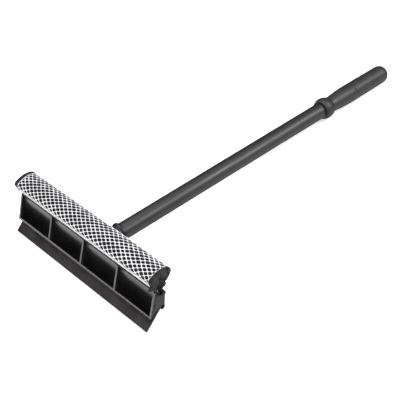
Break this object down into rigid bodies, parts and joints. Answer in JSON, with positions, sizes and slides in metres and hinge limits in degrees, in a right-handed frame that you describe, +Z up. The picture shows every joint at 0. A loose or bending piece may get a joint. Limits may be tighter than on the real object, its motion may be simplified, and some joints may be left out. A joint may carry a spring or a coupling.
{
  "type": "windshield squeegee",
  "caption": "Long-handled windshield squeegee with a ribbed head, a net-covered foam sponge on top, a slide-in rubber blade below, and a tube handle with a hand-stop grip.",
  "frame": {"origin": "under the middle of the squeegee, on the surface it lies on", "axes": "+X along the blade, +Y from the head to the grip's end, +Z up; the squeegee lies on its blade and its grip"},
  "size_m": [0.2596, 0.5402, 0.0707],
  "materials": {
    "black_plastic": "satin moulded",
    "tube_plastic": "satin extruded",
    "blade_rubber": "matte",
    "foam": "open-cell, matte",
    "net": "knitted, matte",
    "steel": "plated"
  },
  "bodies": {
    "frame": {"head_front": "black_plastic", "head_rear": "black_plastic", "head_screw_1": "steel", "head_screw_2": "steel", "head_screw_3": "steel", "head_screw_4": "steel", "handle_tube": "tube_plastic", "tube_plug": "black_plastic", "handle_screw": "steel", "grip": "black_plastic"},
    "blade_strip": {"blade": "blade_rubber"},
    "sponge_pad": {"sponge_rail": "black_plastic", "sponge": "foam", "net_cover": "net", "neck_pin_1": "steel", "neck_pin_2": "steel", "neck_pin_3": "steel"}
  },
  "joints": [
    {"name": "blade_slide", "type": "slide", "parent": "frame", "child": "blade_strip", "axis": [1, 0, 0], "range_m": [0, 0.25]},
    {"name": "sponge_slide", "type": "slide", "parent": "frame", "child": "sponge_pad", "axis": [1, 0, 0], "range_m": [0, 0.25]}
  ]
}
